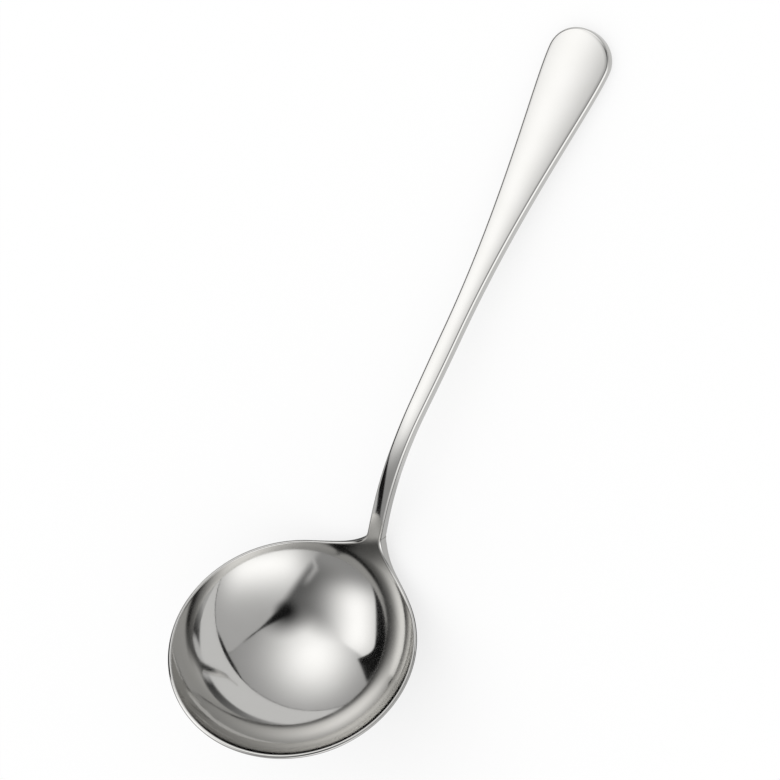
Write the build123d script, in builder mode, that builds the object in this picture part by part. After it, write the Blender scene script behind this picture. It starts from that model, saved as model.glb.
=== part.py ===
from build123d import *
from math import asin, atan2, cos, degrees, pi, radians, sin, sqrt
import os

# Soup ladle of stainless steel, lying as it does on a table: the bowl rests on the side of
# its round underside, and the far end of the handle touches the table. +X runs from the
# bowl to the end of the handle, +Z is up. Lengths are in millimetres, angles in degrees.

# Bowl
rim_diameter = 90
wall = 1.4
bowl_depth = 25
rim_slope = 66
rim_band = 1

# Root, where the bowl's wall sweeps up from the rim and thickens into the neck
root_half_spread = 25
root_rise = 11
root_start_depth = 0.15
thickening_run = 9

# Handle
handle_thickness = 4
neck_width = 6.2
shaft_width = 7.2
grip_width = 24.7
neck_straight = 17.6
bend_radius = 100
shaft_slope = 38.8
shaft_bow_radius = 4400
taper_start = 42
flare_start = 95
widest_run = 199.3
end_length = 10.5

# Rounding of the rim and of all edges of the handle
edge_rounding = 0.5

# Extra length of cutting shapes, so that they pass through what they cut
overrun = 2

# Shares of the turn, length or width that they follow
bottom_turn_share = 0.383
flank_pull_share = 0.55
taper_pull_share = 0.4
flare_first_pull_share = 0.48
flare_last_pull_share = 0.14
crown_share = 0.042
rounding_shares = (1, 0.9, 1.1, 0.8, 1.2)
bend_station_shares = (0, 0.25, 0.5, 0.75, 1)
flare_station_shares = (0, 0.25, 0.5, 0.75, 1)

# The ladle is drawn in a side view: reach runs out from the bowl's axis towards the
# handle, height runs up that axis from the plane of the rim's inner edge
rim_radius_in = rim_diameter / 2 - wall * sin(radians(rim_slope))

# The bowl has a shallow round bottom, tighter round sides and a straight band under the
# rim, which meet smoothly. The two radii follow from the reach and the depth of the arcs
bottom_turn = rim_slope * bottom_turn_share
arcs_reach = rim_radius_in - rim_band * cos(radians(rim_slope))
arcs_depth = bowl_depth - rim_band * sin(radians(rim_slope))
bottom_sine = sin(radians(bottom_turn))
bottom_rise = 1 - cos(radians(bottom_turn))
side_sine = sin(radians(rim_slope)) - bottom_sine
side_rise = cos(radians(bottom_turn)) - cos(radians(rim_slope))
side_radius = arcs_reach * bottom_rise - arcs_depth * bottom_sine
side_radius /= side_sine * bottom_rise - side_rise * bottom_sine
bottom_radius = (arcs_reach - side_radius * side_sine) / bottom_sine
bottom_centre_height = bottom_radius - bowl_depth
side_centre_reach = (bottom_radius - side_radius) * bottom_sine
side_centre_height = side_radius - bowl_depth + (bottom_radius - side_radius) * bottom_rise

# Face of the handle in the same side view: straight up from the rim, a bend outwards and
# a long shaft that bows up a little
handle_run = widest_run + end_length
bend_turn = rim_slope - shaft_slope
shaft_start = neck_straight + bend_radius * radians(bend_turn)
shaft_turn = degrees((handle_run + overrun - shaft_start) / shaft_bow_radius)
with BuildLine() as face_line:
    neck = PolarLine((rim_radius_in, 0), neck_straight, rim_slope)
    bend = JernArc(neck @ 1, neck % 1, bend_radius, -bend_turn)
    shaft = JernArc(bend @ 1, bend % 1, shaft_bow_radius, shaft_turn)
face_wire = face_line.wires()[0]


def face_point(run):
    """Point of the side view on the handle's face, a distance along it from the rim."""
    return face_wire.position_at(run, position_mode=PositionMode.LENGTH)


def face_direction(run):
    """Direction of the handle's face in the side view at that distance."""
    return face_wire.tangent_at(run, position_mode=PositionMode.LENGTH)


# The tilt at which the round side of the bowl and the lower corner of the handle's end
# touch the table together
end_direction = face_direction(handle_run)
heel = face_point(handle_run) + Vector(end_direction.Y, -end_direction.X) * handle_thickness
heel_arm = heel - Vector(side_centre_reach, side_centre_height)
side_radius_out = side_radius + wall
tilt = atan2(heel_arm.Y, heel_arm.X) + asin(side_radius_out / heel_arm.length)

# The rim's centre is placed so that the origin is on the table, under the ladle's middle
tip = face_point(handle_run)
tip_x = tip.X * cos(tilt) + tip.Y * sin(tilt)
back_x = side_centre_height * sin(tilt) - side_centre_reach * cos(tilt) - side_radius_out
rim_z = side_radius_out + side_centre_reach * sin(tilt) - side_centre_height * cos(tilt)
rim_centre = Vector(-(back_x + tip_x) / 2, 0, rim_z)

on_table = Plane(rim_centre, x_dir=(cos(tilt), 0, -sin(tilt)), z_dir=(sin(tilt), 0, cos(tilt)))

# The pieces are made upright, with the bowl's axis along Z and the rim's centre at the origin
side_view = Plane.XZ
back_view = Plane(side_view.origin, x_dir=-side_view.x_dir, z_dir=-side_view.z_dir)
bowl_axis = Axis.Z


def face_plane(run):
    """Plane square to the handle's face at that distance: x across, y out of the face."""
    foot = side_view.from_local_coords(face_point(run))
    ahead = side_view.from_local_coords(face_point(run) + face_direction(run)) - foot
    return Plane(foot, x_dir=-side_view.z_dir, z_dir=ahead)


def shared_edges(faces, others):
    """Edges where the first faces meet the others."""
    other_edges = [edge for face in others for edge in face.edges()]
    return [edge for face in faces for edge in face.edges() if edge in other_edges]


def looks_inwards(face):
    """Whether a face of the bowl is turned towards the middle of its rim."""
    return face.normal_at(0.5, 0.5).dot(bowl_axis.position - face.position_at(0.5, 0.5)) > 0


def round_off(edges):
    """Round edges by the full rounding or, where that fails, by another share of it."""
    for share in rounding_shares:
        try:
            return fillet(edges, radius=edge_rounding * share)
        except ValueError:
            continue
    raise ValueError("These edges can't be rounded")


# Root and bowl

neck_direction = face_direction(0)
neck_back = Vector(neck_direction.Y, -neck_direction.X)
root_top = face_point(root_rise + overrun)
root_top_back = root_top + neck_back * handle_thickness
thin_back = face_point(rim_band) + neck_back * wall
thick_back = face_point(thickening_run) + neck_back * handle_thickness
thickening_pull = neck_direction * (thickening_run - rim_band) * flank_pull_share
trim_in = neck @ 0 - neck_back * overrun
trim_out = neck @ 0 + neck_back * (handle_thickness + overrun)
trim_up = neck_direction * (root_rise + overrun * 2)

# In a view square to the neck, the rim falls away on both sides, and each flank of the
# root leaves it in its own direction and ends along the side of the neck
rim_section = face_plane(0)
root_view = Plane(rim_section.origin, x_dir=rim_section.x_dir, z_dir=-rim_section.y_dir)
spread_reach = sqrt(rim_radius_in**2 - root_half_spread**2)
rim_fall = (rim_radius_in - spread_reach) * cos(radians(rim_slope))
flank_start = Vector(root_half_spread, -rim_fall - root_start_depth)
flank_foot = Vector(root_half_spread, -rim_fall - overrun)
flank_end = Vector(neck_width / 2, root_rise)
rim_direction = Vector(-1, root_half_spread / spread_reach * cos(radians(rim_slope)))
flank_pull = rim_direction * (root_half_spread - neck_width / 2) * flank_pull_share

# A ring above the rim, without the root, is what is cut away from the bowl's blank
with BuildPart() as trimming:
    with BuildSketch(back_view):
        with BuildLine():
            Polyline(trim_in, trim_out, trim_out + trim_up, trim_in + trim_up, close=True)
        make_face()
    revolve(axis=bowl_axis)
    with BuildSketch(root_view.offset(-root_half_spread)):
        with BuildLine():
            Bezier(
                flank_start,
                flank_start + flank_pull,
                flank_end - Vector(0, root_rise * flank_pull_share),
                flank_end,
            )
            Line((0, root_rise), flank_end)
            Polyline(flank_start, flank_foot, (0, flank_foot.Y))
            mirror(about=Plane.YZ)
        make_face()
    extrude(amount=root_half_spread * 2, mode=Mode.SUBTRACT)

with BuildPart() as bowl:
    with BuildSketch(back_view):
        with BuildLine():
            bottom = CenterArc((0, bottom_centre_height), bottom_radius, -90, bottom_turn)
            side = JernArc(bottom @ 1, bottom % 1, side_radius, rim_slope - bottom_turn)
            Polyline(side @ 1, root_top, root_top_back, thick_back)
            under = CenterArc(
                (0, bottom_centre_height), bottom_radius + wall, -90, bottom_turn
            )
            outside = JernArc(
                under @ 1, under % 1, side_radius_out, rim_slope - bottom_turn
            )
            Line(outside @ 1, thin_back)
            Bezier(
                thin_back, thin_back + thickening_pull, thick_back - thickening_pull, thick_back
            )
            Line(bottom @ 0, under @ 0)
        make_face()
    revolve(axis=bowl_axis)
    add(trimming.part, mode=Mode.SUBTRACT)
    upward = bowl.faces().sort_by(lambda face: face.normal_at().dot(bowl_axis.direction))
    cut_faces = upward.filter_by(GeomType.CONE)[-1:] + bowl.faces().filter_by(GeomType.EXTRUSION)
    weld_faces = bowl.faces().filter_by(GeomType.PLANE)
    skins = bowl.faces().filter_by(lambda face: face not in cut_faces + weld_faces)
    inner_skins = skins.filter_by(looks_inwards)
    outer_skins = skins.filter_by(looks_inwards, reverse=True)
    outer_edges = shared_edges(outer_skins, cut_faces)
    round_off(shared_edges(inner_skins, cut_faces))
    round_off(outer_edges)

# Handle

shaft_foot = side_view.from_local_coords(face_point(shaft_start))
shaft_line = side_view.from_local_coords(tip) - shaft_foot
plan_view = Plane(shaft_foot, x_dir=shaft_line, z_dir=shaft_line.cross(Axis.Y.direction))

# Points of the outline in plan, as distance along the shaft and half width
taper_run = flare_start - taper_start
flare_run = widest_run - flare_start
taper_points = [
    Vector(taper_start - shaft_start, neck_width / 2),
    Vector(taper_start - shaft_start + taper_run * taper_pull_share, neck_width / 2),
    Vector(flare_start - shaft_start - taper_run * taper_pull_share, shaft_width / 2),
    Vector(flare_start - shaft_start, shaft_width / 2),
]
flare_points = [
    taper_points[3],
    taper_points[3] + Vector(flare_run * flare_first_pull_share, 0),
    Vector(widest_run - shaft_start - flare_run * flare_last_pull_share, grip_width / 2),
    Vector(widest_run - shaft_start, grip_width / 2),
]


def bezier_point(points, share):
    """Point on a curve of four points, at a share of its length."""
    rest = 1 - share
    return (
        points[0] * rest**3
        + points[1] * (3 * rest**2 * share)
        + points[2] * (3 * rest * share**2)
        + points[3] * share**3
    )


# Stations along the face, each with the half width that the handle has there
stations = [(root_rise, neck_width / 2)]
for share in bend_station_shares:
    stations.append((neck_straight + (shaft_start - neck_straight) * share, neck_width / 2))
for share in flare_station_shares:
    place = bezier_point(flare_points, share)
    stations.append((shaft_start + place.X, place.Y))
stations.append((handle_run + overrun, grip_width / 2))

weld_reach = face_point(root_rise).X
with BuildPart() as handle:
    for run, half_width in stations:
        # The face is hollow at the weld, like the bowl's wall, and crowned from the shaft on
        crowned = min(1, (run - root_rise) / (shaft_start - root_rise))
        hollow = half_width**2 * sin(radians(rim_slope)) / 2 / weld_reach * (1 - crowned)
        drop_share = ((half_width + overrun) / half_width) ** 2
        face_drop = (crown_share * half_width * 2 * crowned - hollow) * drop_share
        back_drop = -hollow * drop_share
        side = half_width + overrun
        with BuildSketch(face_plane(run)):
            with BuildLine():
                face = Bezier((-side, -face_drop), (0, face_drop), (side, -face_drop))
                back = Bezier(
                    (-side, -handle_thickness - back_drop),
                    (0, -handle_thickness + back_drop),
                    (side, -handle_thickness - back_drop),
                )
                Line(face @ 0, back @ 0)
                Line(face @ 1, back @ 1)
            make_face()
    loft()
    with BuildSketch(plan_view):
        with BuildLine():
            neck_side = Line((-shaft_start, neck_width / 2), taper_points[0])
            Bezier(*taper_points)
            Bezier(*flare_points)
            EllipticalCenterArc(
                (flare_points[3].X, 0),
                end_length,
                grip_width / 2,
                start_angle=0,
                arc_size=degrees(pi / 2),
            )
            Line(neck_side @ 0, (-shaft_start, 0))
            mirror(about=Plane.XZ)
        make_face()
    extrude(amount=shaft_start, both=True, mode=Mode.INTERSECT)
    face_and_back = handle.faces().sort_by(SortBy.AREA)[-2:]
    weld_faces = handle.faces().sort_by(Axis.X)[:1]
    sides = handle.faces().filter_by(lambda face: face not in face_and_back + weld_faces)
    round_off(shared_edges(face_and_back, sides))

# Both pieces are tilted to lie on the table
bowl_piece = bowl.part.moved(on_table.location)
handle_piece = handle.part.moved(on_table.location)
bowl_piece.label = "bowl"
handle_piece.label = "handle"

os.makedirs("parts", exist_ok=True)
export_step(bowl_piece, "parts/bowl.step")
export_step(handle_piece, "parts/handle.step")
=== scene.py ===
from math import asin, atan2, cos, pi, radians, sin, sqrt, tan

import bmesh
import bpy
from mathutils import Matrix, Vector


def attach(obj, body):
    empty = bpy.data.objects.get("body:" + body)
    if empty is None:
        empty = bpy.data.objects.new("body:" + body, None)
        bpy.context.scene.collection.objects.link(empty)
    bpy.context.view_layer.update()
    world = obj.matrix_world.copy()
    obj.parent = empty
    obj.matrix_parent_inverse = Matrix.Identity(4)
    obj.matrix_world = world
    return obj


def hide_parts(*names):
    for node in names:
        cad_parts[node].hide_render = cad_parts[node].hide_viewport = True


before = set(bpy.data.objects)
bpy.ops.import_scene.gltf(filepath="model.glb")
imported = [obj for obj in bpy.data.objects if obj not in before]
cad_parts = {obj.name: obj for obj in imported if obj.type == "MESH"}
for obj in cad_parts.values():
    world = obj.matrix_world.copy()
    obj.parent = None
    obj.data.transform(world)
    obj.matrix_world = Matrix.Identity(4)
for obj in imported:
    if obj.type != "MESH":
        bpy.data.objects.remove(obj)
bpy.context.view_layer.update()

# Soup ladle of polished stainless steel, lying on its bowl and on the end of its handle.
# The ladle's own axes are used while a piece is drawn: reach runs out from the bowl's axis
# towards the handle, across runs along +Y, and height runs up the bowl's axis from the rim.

mm = 0.001

# Bowl
rim_diameter = 90 * mm
wall = 1.4 * mm
bowl_depth = 25 * mm
rim_slope = radians(66)
rim_rounding = 0.5 * mm

# Root, where the wall sweeps up from the rim and thickens into the neck
root_spread = 24.42 * mm
root_rise = 11 * mm
root_start_pull_share = 0.5
root_end_pull_share = 0.56
thickening_start = 1 * mm
thickening_end = 9 * mm

# Handle
handle_thickness = 4 * mm
edge_rounding = 0.9 * mm
neck_width = 6.2 * mm
shaft_width = 7.2 * mm
grip_width = 24.7 * mm
neck_straight = 17.6 * mm
bend_radius = 100 * mm
shaft_slope = radians(38.8)
shaft_bow_radius = 4400 * mm
taper_start = 42 * mm
flare_start = 95 * mm
widest_run = 199.3 * mm
end_length = 10.5 * mm
taper_pull_share = 0.4
flare_first_pull_share = 0.48
flare_last_pull_share = 0.14
crown_share = 0.042
crown_full_run = 24 * mm

# Points nearer than this are one point
merge_distance = 0.001 * mm

# Where the side of the CAD bowl curves before it turns into the straight band at the rim
side_radius = 37 * mm
rim_band = 1 * mm


def half_way(share):
    """Smooth step from 0 to 1."""
    share = min(1, max(0, share))
    return share * share * (3 - 2 * share)


def mixed(first, last, share):
    return first + (last - first) * share


# The inside of the bowl is part of an ellipsoid, set by its depth and its slope at the rim
rim_radius = rim_diameter / 2 - wall * sin(rim_slope)
flatness = bowl_depth / (tan(rim_slope) * rim_radius - bowl_depth)
pole_curvature = tan(rim_slope) * flatness / rim_radius
conic = (1 - flatness**2) / (pole_curvature * rim_radius) ** 2
bowl_half_height = 1 / (conic * pole_curvature)
bowl_half_width = 1 / (sqrt(conic) * pole_curvature)
rim_turn = asin(rim_radius / bowl_half_width)
rim_speed = sqrt((bowl_half_width * cos(rim_turn)) ** 2 + (bowl_half_height * sin(rim_turn)) ** 2)
pole_run = -rim_turn * rim_speed


def profile(run):
    """Reach and height of the bowl's inside at a run up from the rim, and its normal there."""
    if run > 0:
        place = (rim_radius + run * cos(rim_slope), run * sin(rim_slope))
        return place, (-sin(rim_slope), cos(rim_slope))
    turn = rim_turn + run / rim_speed
    place = (bowl_half_width * sin(turn), bowl_half_height * (cos(rim_turn) - cos(turn)))
    normal = Vector((-bowl_half_height * sin(turn), bowl_half_width * cos(turn))).normalized()
    return place, normal


def thickness(run):
    grown = half_way((run - thickening_start) / (thickening_end - thickening_start))
    return mixed(wall, handle_thickness, grown)


def wall_point(azimuth, run, depth):
    """Point of the bowl or its root, at a depth below the inner surface."""
    (reach, height), (normal_reach, normal_height) = profile(run)
    reach -= normal_reach * depth
    height -= normal_height * depth
    return Vector((reach * cos(azimuth), reach * sin(azimuth), height))


# Tilt and place of the rim on the table, as the ladle rests on its bowl and its heel
bend_turn = rim_slope - shaft_slope
shaft_start = neck_straight + bend_radius * bend_turn
handle_run = widest_run + end_length


def face_place(run):
    """Reach and height of the handle's face at a run up from the rim, and its slope."""
    straight = min(run, neck_straight)
    turned = min(max(run - neck_straight, 0), shaft_start - neck_straight) / bend_radius
    shaft = max(run - shaft_start, 0)
    bow = shaft**2 / (2 * shaft_bow_radius)
    reach = rim_radius + straight * cos(rim_slope)
    reach += bend_radius * (sin(rim_slope) - sin(rim_slope - turned))
    reach += shaft * cos(shaft_slope) - bow * sin(shaft_slope)
    height = straight * sin(rim_slope)
    height += bend_radius * (cos(rim_slope - turned) - cos(rim_slope))
    height += shaft * sin(shaft_slope) + bow * cos(shaft_slope)
    return reach, height, rim_slope - turned + shaft / shaft_bow_radius


side_centre_reach = rim_radius - rim_band * cos(rim_slope) - side_radius * sin(rim_slope)
side_centre_height = side_radius * cos(rim_slope) - rim_band * sin(rim_slope)
tip_reach, tip_height, tip_slope = face_place(handle_run)
heel_reach = tip_reach + sin(tip_slope) * handle_thickness
heel_height = tip_height - cos(tip_slope) * handle_thickness
arm_reach = heel_reach - side_centre_reach
arm_height = heel_height - side_centre_height
tilt = atan2(arm_height, arm_reach)
tilt += asin((side_radius + wall) / sqrt(arm_reach**2 + arm_height**2))
tip_x = tip_reach * cos(tilt) + tip_height * sin(tilt)
back_x = side_centre_height * sin(tilt) - side_centre_reach * cos(tilt) - side_radius - wall
rim_x = -(back_x + tip_x) / 2
rim_z = side_radius + wall + side_centre_reach * sin(tilt) - side_centre_height * cos(tilt)
to_table = Matrix(
    (
        (cos(tilt), 0, sin(tilt), rim_x),
        (0, 1, 0, 0),
        (-sin(tilt), 0, cos(tilt), rim_z),
        (0, 0, 0, 1),
    )
)


def linear(hexadecimal):
    """Linear colour of an sRGB hex value."""
    shares = [int(hexadecimal[place : place + 2], 16) / 255 for place in (0, 2, 4)]
    return [s / 12.92 if s <= 0.04045 else ((s + 0.055) / 1.055) ** 2.4 for s in shares] + [1]


def add(tree, kind, links=(), **settings):
    """Adds a node with its settings, and links or sets its inputs by name or number."""
    node = tree.nodes.new(kind)
    for name, value in settings.items():
        setattr(node, name, value)
    for socket, value in dict(links).items():
        if isinstance(value, bpy.types.NodeSocket):
            tree.links.new(value, node.inputs[socket])
        else:
            node.inputs[socket].default_value = value
    return node


def calculate(tree, operation, *values):
    """Result of a sum of the tree's values."""
    links = {place: value for place, value in enumerate(values)}
    return add(tree, "ShaderNodeMath", links, operation=operation).outputs[0]


# Bowl and root

rim_stations = 96
flank_stations = 44
weld_stations = 4
bowl_rows = 40
root_rows = 26
rounding_steps = 6
side_steps = 3
foot_run = -9 * mm


def flank_place(share):
    """Place on the root's flank in the unrolled wall, and the direction out of the metal."""
    first = Vector((root_spread, 0))
    last = Vector((neck_width / 2, root_rise))
    first_pull = first - Vector(((root_spread - neck_width / 2) * root_start_pull_share, 0))
    last_pull = last - Vector((0, root_rise * root_end_pull_share))
    rest = 1 - share
    place = first * rest**3 + first_pull * (3 * rest**2 * share)
    place += last_pull * (3 * rest * share**2) + last * share**3
    along = (first_pull - first) * rest**2 + (last_pull - first_pull) * (2 * rest * share)
    along += (last - last_pull) * share**2
    along.normalize()
    return place, Vector((along.y, -along.x))


def half_rim():
    """Stations from the back of the rim to the middle of the neck: azimuth and run of the
    edge, direction out of the metal, and azimuth of the column's foot lower in the bowl."""
    stations = []
    root_turn = root_spread / rim_radius
    for step in range(rim_stations):
        azimuth = mixed(pi, root_turn, step / rim_stations)
        stations.append((azimuth, 0, Vector((0, 1)), azimuth))
    left = flank_stations + weld_stations
    for step in range(flank_stations + 1):
        place, out = flank_place(step / flank_stations)
        azimuth = place.x / (rim_radius + place.y * cos(rim_slope))
        stations.append((azimuth, place.y, out, root_turn * (1 - step / left)))
    weld_reach = rim_radius + root_rise * cos(rim_slope)
    for step in range(1, weld_stations + 1):
        across = (neck_width / 2 - edge_rounding) * (1 - step / weld_stations)
        foot = root_turn * (1 - (flank_stations + step) / left)
        stations.append((across / weld_reach, root_rise, None, foot))
    return stations


def bowl_column(station):
    """Front, edge and back points of the skin at a station, from pole to pole."""
    azimuth, run, out, foot = station
    rounding = mixed(rim_rounding, edge_rounding, half_way(run / root_rise))

    def edge_point(inward, depth):
        if out is None:
            return azimuth, run, depth
        turn = out.x * inward / (rim_radius + run * cos(rim_slope))
        return azimuth - turn, run - out.y * inward, depth

    top_azimuth, top_run = edge_point(rounding, 0)[:2]
    rows = []
    for step in range(1, bowl_rows + 1):
        rows.append((foot, mixed(pole_run, foot_run, step / bowl_rows)))
    for step in range(1, root_rows + 1):
        share = step / root_rows
        rows.append((mixed(foot, top_azimuth, share), mixed(foot_run, top_run, share)))
    front = [wall_point(a, r, 0) for a, r in rows]
    back = [wall_point(a, r, thickness(r)) for a, r in reversed(rows)]
    band = []
    if out is not None:
        full = thickness(run)
        quarter = [pi / 2 * step / rounding_steps for step in range(1, rounding_steps + 1)]
        for turn in quarter:
            band.append(edge_point(rounding * (1 - sin(turn)), rounding * (1 - cos(turn))))
        for step in range(1, side_steps):
            band.append(edge_point(0, mixed(rounding, full - rounding, step / side_steps)))
        for turn in reversed(quarter):
            band.append(edge_point(rounding * (1 - sin(turn)), full - rounding * (1 - cos(turn))))
    return front, [wall_point(*place) for place in band], back


def make_bowl():
    half = half_rim()
    mirrored = [(-a, r, o and Vector((-o.x, o.y)), -f) for a, r, o, f in half[1:-1]]
    stations = half + mirrored[::-1]
    shape = bmesh.new()
    pole = shape.verts.new(wall_point(0, pole_run, 0))
    pole_back = shape.verts.new(wall_point(0, pole_run, wall))
    columns = []
    for station in stations:
        parts = bowl_column(station)
        columns.append([[shape.verts.new(point) for point in part] for part in parts])
    for here, there in zip(columns, columns[1:] + columns[:1]):
        shape.faces.new((pole, here[0][0], there[0][0]))
        shape.faces.new((pole_back, there[2][-1], here[2][-1]))
        if here[1] and there[1]:
            strips = [(here[0] + here[1] + here[2], there[0] + there[1] + there[2])]
        else:
            strips = [(here[0], there[0]), (here[2], there[2])]
        for one, other in strips:
            for row in range(len(one) - 1):
                shape.faces.new((one[row], one[row + 1], other[row + 1], other[row]))
    return finished_mesh("ladle_bowl", shape)


def finished_mesh(name, shape):
    """Closes the shape's open end, turns it to the table and makes it a smooth object."""
    bmesh.ops.remove_doubles(shape, verts=shape.verts, dist=merge_distance / 2)
    rim = [edge for edge in shape.edges if edge.is_boundary]
    cap = bmesh.ops.holes_fill(shape, edges=rim)["faces"]
    bmesh.ops.recalc_face_normals(shape, faces=shape.faces)
    for face in shape.faces:
        face.smooth = True
    for edge in rim:
        edge.smooth = False
    for face in cap:
        face.smooth = False
    shape.transform(to_table)
    mesh = bpy.data.meshes.new(name)
    shape.to_mesh(mesh)
    shape.free()
    piece = bpy.data.objects.new(name, mesh)
    bpy.context.scene.collection.objects.link(piece)
    return piece


# Handle

outline_stations = 520
across_steps = 12


def outline_curve():
    """The handle's outline seen square to its face: run along X, half width along Y."""
    quarter = 4 / 3 * (sqrt(2) - 1)
    taper_pull = (flare_start - taper_start) * taper_pull_share
    flare_length = widest_run - flare_start
    neck, shaft, grip = neck_width / 2, shaft_width / 2, grip_width / 2
    third = (taper_start - root_rise) / 3
    points = [
        ((root_rise, neck), third, third),
        ((taper_start, neck), third, taper_pull),
        ((flare_start, shaft), taper_pull, flare_length * flare_first_pull_share),
        ((widest_run, grip), flare_length * flare_last_pull_share, end_length * quarter),
    ]
    curve = bpy.data.curves.new("handle_outline", "CURVE")
    curve.dimensions = "3D"
    curve.resolution_u = 96
    spline = curve.splines.new("BEZIER")
    spline.bezier_points.add(len(points) * 2)
    for knot in spline.bezier_points:
        knot.handle_left_type = knot.handle_right_type = "FREE"
    for number, ((run, half), before, after) in enumerate(points):
        there = spline.bezier_points[number]
        there.co = (run, half, 0)
        there.handle_left = (run - before, half, 0)
        there.handle_right = (run + after, half, 0)
        back = spline.bezier_points[len(points) * 2 - number]
        back.co = (run, -half, 0)
        back.handle_left = (run + after, -half, 0)
        back.handle_right = (run - before, -half, 0)
    tip = spline.bezier_points[len(points)]
    tip.co = (handle_run, 0, 0)
    tip.handle_left = (handle_run, grip * quarter, 0)
    tip.handle_right = (handle_run, -grip * quarter, 0)
    return bpy.data.objects.new("ladle_handle_outline", curve)


def handle_tree(finish):
    """Skin of a flat bar from its outline: every station of the outline gets a section from
    the middle of the face, round the edge, to the middle of the back."""
    tree = bpy.data.node_groups.new("handle_skin", "GeometryNodeTree")
    sizes = {
        "Thickness": handle_thickness,
        "Edge Rounding": edge_rounding,
        "Grip Width": grip_width,
        "Weld Run": root_rise,
        "Widest Run": widest_run,
        "Neck Straight": neck_straight,
        "Shaft Start": shaft_start,
        "Bend Radius": bend_radius,
        "Bow Radius": shaft_bow_radius,
        "Rim Radius": rim_radius,
        "Rim Slope": rim_slope,
        "Shaft Slope": shaft_slope,
        "Crown Share": crown_share,
        "Crown Full Run": crown_full_run,
    }
    tree.interface.new_socket("Outline", in_out="INPUT", socket_type="NodeSocketGeometry")
    for name in sizes:
        tree.interface.new_socket(name, in_out="INPUT", socket_type="NodeSocketFloat")
    tree.interface.new_socket("Handle", in_out="OUTPUT", socket_type="NodeSocketGeometry")
    given = add(tree, "NodeGroupInput").outputs

    def sum_of(operation, *values):
        return calculate(tree, operation, *values)

    def stepped(share, start, end, size=1.0):
        links = {"Value": share, 1: start, 2: end, 3: 0.0, 4: size}
        return add(tree, "ShaderNodeMapRange", links, clamp=True).outputs[0]

    def joined(x, y, z=0.0):
        return add(tree, "ShaderNodeCombineXYZ", {0: x, 1: y, 2: z}).outputs[0]

    def parted(vector):
        return add(tree, "ShaderNodeSeparateXYZ", {0: vector}).outputs

    def vector_of(operation, first, second):
        return add(tree, "ShaderNodeVectorMath", {0: first, 1: second}, operation=operation)

    rows = 2 * across_steps + 2 * rounding_steps + side_steps
    grid = add(
        tree,
        "GeometryNodeMeshGrid",
        {"Vertices X": outline_stations + 1, "Vertices Y": rows + 1},
    )
    grid.inputs["Size X"].default_value = 1
    grid.inputs["Size Y"].default_value = 1
    place = parted(add(tree, "GeometryNodeInputPosition").outputs[0])
    station = sum_of("ADD", place[0], 0.5)
    row = sum_of("ADD", place[1], 0.5)
    breaks = [across_steps, rounding_steps, side_steps, rounding_steps, across_steps]
    ends = [sum(breaks[: count + 1]) / rows for count in range(len(breaks))]
    front = stepped(row, 0.0, ends[0])
    front_turn = stepped(row, ends[0], ends[1], pi / 2)
    side = stepped(row, ends[1], ends[2])
    back_turn = stepped(row, ends[2], ends[3], pi / 2)
    back = stepped(row, ends[3], 1.0)

    # Edge of the outline at the station, and the direction out of the metal
    outline = add(
        tree,
        "GeometryNodeSampleCurve",
        {"Curves": given["Outline"], "Factor": station},
        mode="FACTOR",
    )
    edge = parted(outline.outputs["Position"])
    along = parted(outline.outputs["Tangent"])
    out = joined(sum_of("MULTIPLY", along[1], -1.0), along[0])
    rounding = given["Edge Rounding"]
    front_in = sum_of("SUBTRACT", 1.0, sum_of("SINE", front_turn))
    back_in = sum_of("SUBTRACT", 1.0, sum_of("COSINE", back_turn))
    inward = sum_of("MULTIPLY", rounding, sum_of("ADD", front_in, back_in))
    shift = add(tree, "ShaderNodeVectorMath", {0: out, "Scale": inward}, operation="SCALE")
    rim = vector_of("SUBTRACT", outline.outputs["Position"], shift.outputs[0]).outputs[0]
    spine = joined(sum_of("MINIMUM", edge[0], given["Widest Run"]), 0.0)
    share = sum_of("MULTIPLY", front, sum_of("SUBTRACT", 1.0, back))
    mix = add(tree, "ShaderNodeMix", {0: share, 4: spine, 5: rim}, data_type="VECTOR")
    plan = parted(mix.outputs[1])
    run, across = plan[0], plan[1]

    # The face is hollow at the weld, like the bowl's wall, and crowned along the shaft
    at_end = sum_of("GREATER_THAN", edge[0], given["Widest Run"])
    grip_half = sum_of("MULTIPLY", given["Grip Width"], 0.5)
    half = sum_of("MAXIMUM", sum_of("ABSOLUTE", edge[1]), sum_of("MULTIPLY", at_end, grip_half))
    crowned = add(
        tree,
        "ShaderNodeMapRange",
        {"Value": run, 1: given["Weld Run"], 2: given["Crown Full Run"]},
        interpolation_type="SMOOTHSTEP",
    ).outputs[0]
    square = sum_of("MULTIPLY", across, across)
    crown = sum_of("MULTIPLY", sum_of("MULTIPLY", 2.0, given["Crown Share"]), crowned)
    drop = sum_of("DIVIDE", sum_of("MULTIPLY", crown, square), half)
    weld_cos = sum_of("COSINE", given["Rim Slope"])
    weld_reach = sum_of("MULTIPLY_ADD", given["Weld Run"], weld_cos, given["Rim Radius"])
    hollow = sum_of("DIVIDE", sum_of("SINE", given["Rim Slope"]), weld_reach)
    hollow = sum_of("MULTIPLY", sum_of("MULTIPLY", 0.5, hollow), sum_of("SUBTRACT", 1.0, crowned))
    hollow = sum_of("MULTIPLY", hollow, square)
    flat_side = sum_of("SUBTRACT", given["Thickness"], drop)
    flat_side = sum_of("SUBTRACT", flat_side, sum_of("MULTIPLY", 2.0, rounding))
    depth = sum_of("MULTIPLY", rounding, sum_of("SUBTRACT", 1.0, sum_of("COSINE", front_turn)))
    depth = sum_of("ADD", depth, sum_of("MULTIPLY", flat_side, side))
    depth = sum_of("ADD", depth, sum_of("MULTIPLY", rounding, sum_of("SINE", back_turn)))
    lift = sum_of("SUBTRACT", sum_of("SUBTRACT", hollow, drop), depth)

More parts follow.
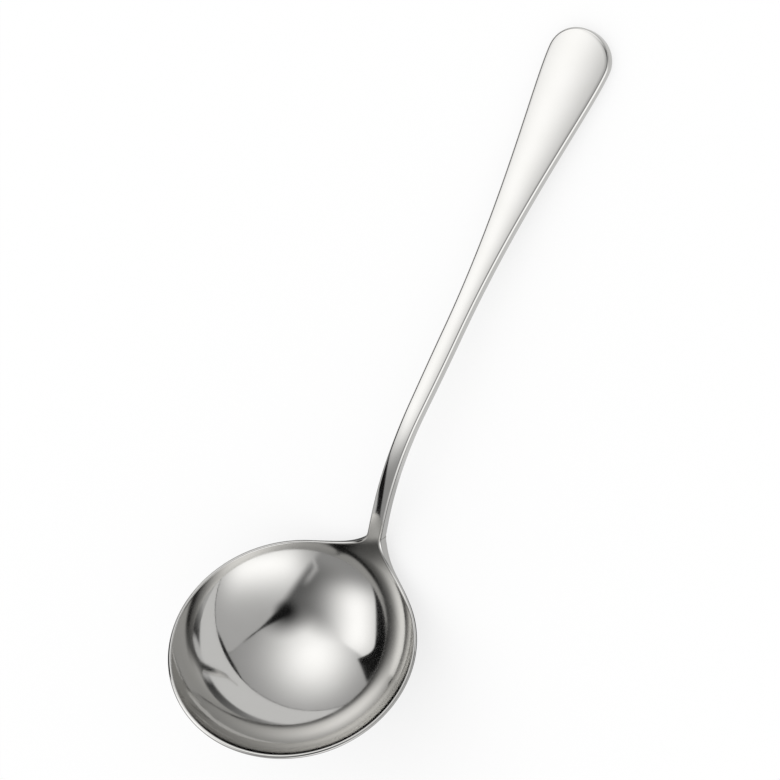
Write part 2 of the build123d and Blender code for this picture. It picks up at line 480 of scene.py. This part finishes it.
    # Line of the face in the side view: straight, a bend outwards, and a shaft that bows up
    straight = sum_of("MINIMUM", run, given["Neck Straight"])
    bend_end = sum_of("SUBTRACT", given["Shaft Start"], given["Neck Straight"])
    bent = sum_of("SUBTRACT", run, given["Neck Straight"])
    bent = sum_of("MINIMUM", sum_of("MAXIMUM", bent, 0.0), bend_end)
    turned = sum_of("DIVIDE", bent, given["Bend Radius"])
    slope = sum_of("SUBTRACT", given["Rim Slope"], turned)
    shaft = sum_of("MAXIMUM", sum_of("SUBTRACT", run, given["Shaft Start"]), 0.0)
    bow = sum_of("DIVIDE", sum_of("MULTIPLY", shaft, shaft), given["Bow Radius"])
    bow = sum_of("MULTIPLY", 0.5, bow)
    rim_cos, rim_sin = weld_cos, sum_of("SINE", given["Rim Slope"])
    shaft_cos = sum_of("COSINE", given["Shaft Slope"])
    shaft_sin = sum_of("SINE", given["Shaft Slope"])
    reach = sum_of("MULTIPLY_ADD", straight, rim_cos, given["Rim Radius"])
    swing = sum_of("SUBTRACT", rim_sin, sum_of("SINE", slope))
    reach = sum_of("MULTIPLY_ADD", given["Bend Radius"], swing, reach)
    reach = sum_of("MULTIPLY_ADD", shaft, shaft_cos, reach)
    reach = sum_of("SUBTRACT", reach, sum_of("MULTIPLY", bow, shaft_sin))
    swing = sum_of("SUBTRACT", sum_of("COSINE", slope), rim_cos)
    height = sum_of("MULTIPLY", straight, rim_sin)
    height = sum_of("MULTIPLY_ADD", given["Bend Radius"], swing, height)
    height = sum_of("MULTIPLY_ADD", shaft, shaft_sin, height)
    height = sum_of("MULTIPLY_ADD", bow, shaft_cos, height)
    lean = sum_of("ADD", slope, sum_of("DIVIDE", shaft, given["Bow Radius"]))
    reach = sum_of("SUBTRACT", reach, sum_of("MULTIPLY", lift, sum_of("SINE", lean)))
    height = sum_of("MULTIPLY_ADD", lift, sum_of("COSINE", lean), height)

    moved = add(
        tree,
        "GeometryNodeSetPosition",
        {"Geometry": grid.outputs["Mesh"], "Position": joined(reach, across, height)},
    )
    near = {"Geometry": moved.outputs[0], "Distance": merge_distance}
    welded = add(tree, "GeometryNodeMergeByDistance", near)
    real = add(tree, "GeometryNodeRealizeInstances", {"Geometry": welded.outputs[0]})
    steel = add(tree, "GeometryNodeSetMaterial", {"Geometry": real.outputs[0], "Material": finish})
    add(tree, "NodeGroupOutput", {0: steel.outputs[0]})
    return tree, sizes


def make_handle(finish):
    outline = outline_curve()
    bpy.context.scene.collection.objects.link(outline)
    tree, sizes = handle_tree(finish)
    skin = outline.modifiers.new("handle_skin", "NODES")
    skin.node_group = tree
    for socket in tree.interface.items_tree:
        if socket.name in sizes:
            skin[socket.identifier] = sizes[socket.name]
    bpy.context.view_layer.update()
    seen = outline.evaluated_get(bpy.context.evaluated_depsgraph_get())
    plain = bpy.data.meshes.new_from_object(seen)
    shape = bmesh.new()
    shape.from_mesh(plain)
    outline.modifiers.remove(skin)
    bpy.data.objects.remove(outline)
    return finished_mesh("ladle_handle", shape)


# Finish

# Clouds of haze about as wide as a fingertip's wipe of the polishing cloth
haze_width = 9 * mm
clear_roughness, hazy_roughness = 0.045, 0.085

# The real lines are finer than a tenth of this and are drawn as coarse as they need to show
line_spacing = 0.3 * mm
line_stretch = 0.06
line_roughness = 0.03
line_height = 0.0004 * mm


def polished_steel():
    """Stainless steel, mirror polished: neutral grey with sharp reflections. Fine lines of
    the last polishing and a faint haze between them keep it from looking like chrome."""
    material = bpy.data.materials.new("polished stainless steel")
    material.use_nodes = True
    tree = material.node_tree
    shader = tree.nodes["Principled BSDF"]
    shader.inputs["Metallic"].default_value = 1
    place = add(tree, "ShaderNodeTexCoord").outputs["Object"]

    # Haze left by the polishing cloth
    haze = add(tree, "ShaderNodeTexNoise", {"Vector": place, "Scale": 1 / haze_width, "Detail": 2})
    # Polishing lines, drawn out along the ladle
    drawn = add(tree, "ShaderNodeMapping", {"Vector": place, "Scale": (line_stretch, 1, 1)})
    lines = {"Vector": drawn.outputs[0], "Scale": 1 / line_spacing, "Detail": 1}
    lines = add(tree, "ShaderNodeTexNoise", lines)
    clear, hazy = clear_roughness, hazy_roughness
    rough = {"Value": haze.outputs[0], 1: 0.3, 2: 0.7, 3: clear, 4: hazy}
    rough = add(tree, "ShaderNodeMapRange", rough)
    rough = calculate(tree, "MULTIPLY_ADD", lines.outputs[0], line_roughness, rough.outputs[0])
    tree.links.new(rough, shader.inputs["Roughness"])
    tint = {0: haze.outputs[0], 6: linear("D2D1CE"), 7: linear("D7D6D4")}
    tint = add(tree, "ShaderNodeMix", tint, data_type="RGBA")
    tree.links.new(tint.outputs[2], shader.inputs["Base Color"])
    # The lines stand a fiftieth of a micrometre proud, enough to break the sharpest glints
    bump = {"Strength": 0.05, "Distance": line_height, "Height": lines.outputs[0]}
    bump = add(tree, "ShaderNodeBump", bump)
    tree.links.new(bump.outputs[0], shader.inputs["Normal"])
    return material


# Light and surroundings

camera_place = Vector((254.1, -399.1, 796.6)) * mm
camera_azimuth = radians(-57.62)
camera_elevation = radians(58.04)
camera_roll = radians(-96.08)
lens = 120
sensor = 36


def camera_axes():
    back = Vector((cos(camera_azimuth), sin(camera_azimuth), 0)) * cos(camera_elevation)
    back.z = sin(camera_elevation)
    level = Vector((-sin(camera_azimuth), cos(camera_azimuth), 0))
    upright = back.cross(level)
    right = level * cos(camera_roll) + upright * sin(camera_roll)
    return right, back.cross(right), back


def make_camera():
    right, up, back = camera_axes()
    camera = bpy.data.cameras.new("camera")
    camera.lens = lens
    camera.sensor_width = sensor
    camera.dof.use_dof = False
    eye = bpy.data.objects.new("camera", camera)
    turn = Matrix((right, up, back)).transposed().to_4x4()
    eye.matrix_world = Matrix.Translation(camera_place) @ turn
    bpy.context.scene.collection.objects.link(eye)
    bpy.context.scene.camera = eye


floor_half_width = 3000 * mm

# Share of the floor's own light, which thins the ladle's shadow for the camera
paper_glow = 0.7

# Painted shadow: the floor's glow, as the steel sees it, is painted dim beside the bowl, where the
# ladle would keep the light off it
shade_place = (-50 * mm, -12 * mm, 0)
shade_end_x = -40 * mm
shade_end_blur = 3 * mm
shade_start, shade_end = 20 * mm, 85 * mm
darkest_painted_shadow, dim_painted_shadow, open_floor = 0.02, 0.5, 0.75

# Painted light: the nearest floor, under the neck, is painted brighter in the steel, as if lit
# from the side
neck_light_start, neck_light_end = 14 * mm, 21 * mm
painted_neck_light = 0.6


def make_floor():
    shape = bmesh.new()
    bmesh.ops.create_grid(shape, x_segments=1, y_segments=1, size=floor_half_width)
    mesh = bpy.data.meshes.new("floor")
    shape.to_mesh(mesh)
    shape.free()
    floor = bpy.data.objects.new("floor", mesh)
    bpy.context.scene.collection.objects.link(floor)
    floor.data.materials.append(white_paper())


def white_paper():
    """Matt white background paper: it gives the eye an even white with a faint shadow."""
    material = bpy.data.materials.new("white paper")
    material.use_nodes = True
    tree = material.node_tree
    shader = tree.nodes["Principled BSDF"]
    shader.inputs["Roughness"].default_value = 1
    shader.inputs["Specular IOR Level"].default_value = 0
    shader.inputs["Base Color"].default_value = linear("FFFFFF")

    def stepped(value, start, end, low, high, kind="LINEAR"):
        links = {"Value": value, 1: start, 2: end, 3: low, 4: high}
        return add(tree, "ShaderNodeMapRange", links, interpolation_type=kind).outputs[0]

    # Painted shadow and painted light in the floor's glow, seen only in the steel, by the place on
    # the floor
    place = add(tree, "ShaderNodeTexCoord").outputs["Object"]
    distance = {0: place, 1: shade_place}
    distance = add(tree, "ShaderNodeVectorMath", distance, operation="DISTANCE").outputs["Value"]
    shade = stepped(distance, shade_start, shade_end, darkest_painted_shadow, dim_painted_shadow)
    # Painted light: a brighter patch of floor glow under the neck, seen only in the steel
    neck_light = stepped(distance, neck_light_end, neck_light_start, 0.0, painted_neck_light)
    shade = calculate(tree, "MAXIMUM", shade, neck_light)
    across = add(tree, "ShaderNodeSeparateXYZ", {0: place}).outputs[0]
    shade_edges = (shade_end_x - shade_end_blur, shade_end_x + shade_end_blur)
    in_open = stepped(across, *shade_edges, 0.0, 1.0, "SMOOTHSTEP")
    # Beyond a line beside the bowl the floor glows evenly in the steel; nearer the bowl it carries
    # the painted shadow
    floor_glow_with_painted_shadow = add(tree, "ShaderNodeMix", {0: in_open, 2: shade, 3: open_floor}).outputs[0]

    # The camera sees paper and a little glow, the steel sees the glow alone
    path = add(tree, "ShaderNodeLightPath").outputs
    by_camera = path["Is Camera Ray"]
    strength = add(tree, "ShaderNodeMix", {0: by_camera, 2: floor_glow_with_painted_shadow, 3: 1.0}).outputs[0]
    glow = add(tree, "ShaderNodeEmission", {"Strength": strength})
    seen = calculate(tree, "MAXIMUM", by_camera, path["Is Glossy Ray"])
    seen = calculate(tree, "MAXIMUM", seen, path["Is Transmission Ray"])
    share = add(tree, "ShaderNodeMix", {0: by_camera, 2: 1.0, 3: paper_glow}).outputs[0]
    share = calculate(tree, "MULTIPLY", share, seen)
    mix = add(tree, "ShaderNodeMixShader", {0: share, 1: shader.outputs[0], 2: glow.outputs[0]})
    tree.links.new(mix.outputs[0], tree.nodes["Material Output"].inputs["Surface"])
    return material


# Surroundings as the steel sees them. Places are on a round map: degrees right and up of the
# way to the camera. Three diffusing panels, top, left and low, meet round the lens.
panels_meet = (-2, 10)
top_centre, top_spread = (-26, 46), (32, 33)
left_centre, left_spread = (-59, 17), (26, 33)
low_centre, low_spread = (18, -36), (34, 27)

# Brightness of each panel at its centre above its edges, and at its edges
top_glow, top_base = 1.2, 0.42
left_glow, left_base, left_far_base = 1.25, 0.1, 0.28
low_glow, low_base = 1.05, 0.57

# How far from the meeting place each panel reaches its own brightness, in degrees
top_fade, left_fade, low_fade = (2, 26), (1, 14), (1, 12)
left_far_fade = (25, 65)

# Lines where the panels end: a place on the line and its direction
top_edge = (-2, 12), (0.889, -0.458)
low_edge = (0, 8), (0.493, 0.870)
low_gap = (0, 12), (0.8, 0.6)
top_right_edge = (-62, 46.4), (-0.58, 0.815)
low_end, low_corner = 53.6, 6
left_end, left_corner_height, left_corner_depth = -80, (14, 34), 30

# The top panel's edge over the left one, blurred near the lens: where, and how far
edge_blur_reach, edge_blur = (34, 56), (12.0, 1.5)

# The low panel's near edge bends and has a bright seam
seam_bend_reach, seam_bend = (-44, -62), (-4.0, 8.0)
seam_reach, seam_width, seam_glow = (-22, -36), 2.5, 0.3

# The dark gap above the low panel: its half width from the lens outwards, and where it closes
gap_reach, gap_widths = (0, 24), (4.5, 0.8)
gap_start, gap_close, gap_far_light = (0, -8), (26, 42), 0.9

# Beyond the panels the room is dark, apart from far light above, below and behind
left_lean_reach, left_lean = (-5, -45), 8.0
light_above, above_glow = (63, 70), 0.8
light_behind, behind_glow = (98, 108), 0.35
light_below, below_offset, below_glow = (5, -10), (-10, -13), 0.3

# The dark strip on the horizon: its bearing, half length and height as a share of the distance
strip_bearing, strip_half_length = radians(-24), radians(17)
strip_share = 0.05

# Light from the panels together, and from the dark room
panel_light = 0.91
room_light = 0.008


def make_world():
    world = bpy.data.worlds.new("studio")
    bpy.context.scene.world = world
    world.use_nodes = True
    tree = world.node_tree
    tree.nodes.clear()
    right, up, back = camera_axes()
    direction = add(tree, "ShaderNodeTexCoord").outputs["Generated"]

    def sum_of(operation, *values):
        return calculate(tree, operation, *values)

    def share_of(vector):
        links = {0: direction, 1: vector}
        return add(tree, "ShaderNodeVectorMath", links, operation="DOT_PRODUCT").outputs["Value"]

    def stepped(value, start, end, low=0.0, high=1.0):
        links = {"Value": value, 1: start, 2: end, 3: low, 4: high}
        kind = "SMOOTHSTEP"
        return add(tree, "ShaderNodeMapRange", links, interpolation_type=kind).outputs[0]

    def bell(value, middle, spread, power=2):
        """1 at the middle, falling to a third at the spread on both sides."""
        offset = sum_of("DIVIDE", sum_of("SUBTRACT", value, middle), spread)
        offset = sum_of("POWER", sum_of("ABSOLUTE", offset), power)
        return sum_of("EXPONENT", sum_of("MULTIPLY", offset, -1.0))

    def product(*values):
        result = values[0]
        for value in values[1:]:
            result = sum_of("MULTIPLY", result, value)
        return result

    def larger(*values):
        result = values[0]
        for value in values[1:]:
            result = sum_of("MAXIMUM", result, value)
        return result

    def distance(first, second):
        return sum_of("SQRT", sum_of("ADD", product(first, first), product(second, second)))

    def blend(first, last, share):
        change = sum_of("SUBTRACT", last, first)
        return sum_of("MULTIPLY_ADD", change, share, first)

    # Place on the map
    x, y = share_of(right), share_of(up)
    away = larger(distance(x, y), 0.0001)
    span = product(sum_of("ARCCOSINE", share_of(back)), 180 / pi)
    x = product(span, sum_of("DIVIDE", x, away))
    y = product(span, sum_of("DIVIDE", y, away))

    def off(place):
        return sum_of("SUBTRACT", x, place[0]), sum_of("SUBTRACT", y, place[1])

    def off_line(line):
        """Distances along and left of a line."""
        place, (along_x, along_y) = line
        from_x, from_y = off(place)
        along = sum_of("ADD", product(from_x, along_x), product(from_y, along_y))
        left = sum_of("SUBTRACT", product(from_y, along_x), product(from_x, along_y))
        return along, left

    def panel(centre, spread, glow, base, powers=(2, 2)):
        across = bell(x, centre[0], spread[0], powers[0])
        upright = bell(y, centre[1], spread[1], powers[1])
        return sum_of("MULTIPLY_ADD", product(across, upright), glow, base)

    off_meeting = distance(*off(panels_meet))
    top = panel(top_centre, top_spread, top_glow, top_base)
    top = product(top, stepped(off_meeting, *top_fade))
    left = panel(left_centre, left_spread, left_glow, left_base, (2, 4))
    left = sum_of("ADD", left, stepped(off_meeting, *left_far_fade, 0.0, left_far_base))
    left = product(left, stepped(off_meeting, *left_fade))
    low = panel(low_centre, low_spread, low_glow, low_base, (4, 2))
    low = product(low, stepped(off_meeting, *low_fade))

    # The top panel lies over the left one, with an edge that is blurred near the lens
    blur = stepped(off_meeting, *edge_blur_reach, *edge_blur)
    over = sum_of("DIVIDE", off_line(top_edge)[1], blur)
    total = blend(left, top, stepped(over, -1.2, 0.8))

    # The low panel lies over both. Its edge bends at the near end and has a bright seam, and
    # its far end has a rounded corner
    along_low, right_of_low = off_line(low_edge)
    inside_low = product(right_of_low, -1.0)
    bend = stepped(along_low, *seam_bend_reach, *seam_bend)
    seam = bell(sum_of("SUBTRACT", inside_low, bend), 0, seam_width)
    seam = product(seam, stepped(along_low, *seam_reach), seam_glow)
    total = sum_of("ADD", total, seam)
    along_gap, above_gap = off_line(low_gap)
    past_end = larger(sum_of("SUBTRACT", along_gap, low_end - low_corner), 0.0)
    past_top = larger(sum_of("ADD", above_gap, low_corner), 0.0)
    inside_corner = sum_of("SUBTRACT", low_corner, distance(past_end, past_top))
    in_low = product(stepped(inside_low, -1.5, 6.5), stepped(inside_corner, -0.5, 0.5))
    total = blend(total, low, in_low)

    # A dark gap above the low panel narrows away from the lens and closes
    gap_width = stepped(along_gap, *gap_reach, *gap_widths)
    off_gap = sum_of("DIVIDE", sum_of("ABSOLUTE", above_gap), gap_width)
    closed = stepped(along_gap, *gap_close, 0.0, gap_far_light)
    closed = larger(stepped(along_gap, *gap_start), closed)
    total = product(total, larger(stepped(off_gap, 0.4, 1.2), closed))

    # Beyond the left panel's rounded end the room is dark, apart from some far light
    corner_start, corner_spread = left_corner_height
    corner = bell(larger(y, corner_start), corner_start, corner_spread, 8)
    inside = sum_of("SUBTRACT", 1.0, corner)
    inside = sum_of("MULTIPLY_ADD", inside, -left_corner_depth, sum_of("SUBTRACT", x, left_end))
    inside = sum_of("SUBTRACT", inside, stepped(y, *left_lean_reach, 0.0, left_lean))
    on_top_panel = stepped(off_line(top_right_edge)[1], 1.2, -1.2)
    below = product(stepped(inside, *below_offset), stepped(y, *light_below))
    above = stepped(y, *light_above, 0.0, above_glow)
    behind = stepped(span, *light_behind, 0.0, behind_glow)
    lit = larger(stepped(inside, -1.2, 1.2), on_top_panel, below, above, behind)
    total = product(sum_of("ADD", total, product(below, below_glow)), lit)

    # A thin dark strip stands on the horizon in front of the ladle's handle
    parts = add(tree, "ShaderNodeSeparateXYZ", {0: direction}).outputs
    bearing = sum_of("ARCTAN2", parts[1], parts[0])
    strip_height = product(bell(bearing, strip_bearing, strip_half_length, 4), strip_share)
    above_strip = sum_of("DIVIDE", parts[2], larger(strip_height, 0.0001))
    total = product(total, stepped(above_strip, 0.7, 1.0))
    total = sum_of("MULTIPLY_ADD", total, panel_light, room_light)

    # Only the steel's reflections see the panels; everything else is lit by plain white
    panels = add(tree, "ShaderNodeBackground", {"Color": (1, 1, 1, 1), "Strength": total})
    white = add(tree, "ShaderNodeBackground", {"Color": (1, 1, 1, 1), "Strength": 1})
    by_steel = add(tree, "ShaderNodeLightPath").outputs["Is Glossy Ray"]
    mix = {0: by_steel, 1: white.outputs[0], 2: panels.outputs[0]}
    mix = add(tree, "ShaderNodeMixShader", mix)
    add(tree, "ShaderNodeOutputWorld", {"Surface": mix.outputs[0]})


scene = bpy.context.scene
scene.view_settings.view_transform = "Standard"
make_camera()
make_floor()
make_world()
steel = polished_steel()
bowl = make_bowl()
bowl.data.materials.append(steel)
handle = make_handle(steel)
handle.data.materials.append(steel)
for piece, node in ((bowl, "bowl"), (handle, "handle")):
    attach(piece, "root")
    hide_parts(node)
